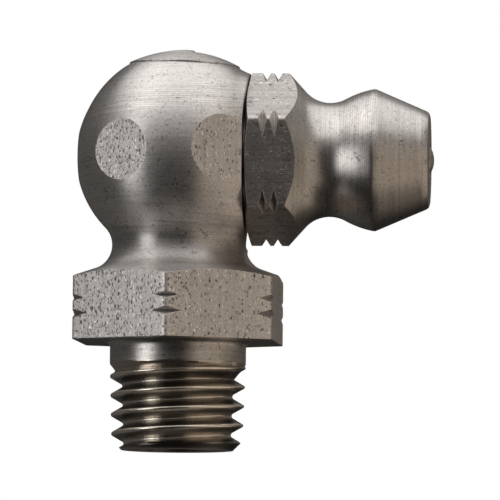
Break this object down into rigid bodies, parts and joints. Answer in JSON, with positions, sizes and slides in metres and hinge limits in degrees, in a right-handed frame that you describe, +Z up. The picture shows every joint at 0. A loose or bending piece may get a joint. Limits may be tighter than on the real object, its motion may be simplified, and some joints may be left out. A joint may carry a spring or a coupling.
{
  "type": "angled grease fitting",
  "caption": "Right-angled grease fitting: a ball elbow on a hex and taper thread, with a side grease head and a sprung check ball.",
  "frame": {"origin": "on the thread's axis, in the plane of the hex's underside, where the plain shank begins", "axes": "+Z up the thread's axis through the ball, +X along the grease head, -Y towards the viewer of the picture"},
  "size_m": [0.0169, 0.0108, 0.019],
  "materials": {
    "body_steel": "turned, with as-drawn hex flats",
    "head_steel": "turned, with as-drawn collar flats",
    "ball_steel": "ground and polished",
    "spring_steel": "drawn wire"
  },
  "bodies": {
    "fitting": {"elbow_body": "body_steel", "nipple_head": "head_steel", "check_spring": "spring_steel"},
    "valve_ball": {"check_ball": "ball_steel"}
  },
  "joints": [
    {"name": "ball_lift", "type": "slide", "parent": "fitting", "child": "valve_ball", "axis": [-1, 0, 0], "range_m": [0, 0.001], "stiffness_N_per_m": 1550, "springref_m": -0.0005, "deforming": ["check_spring"]}
  ]
}
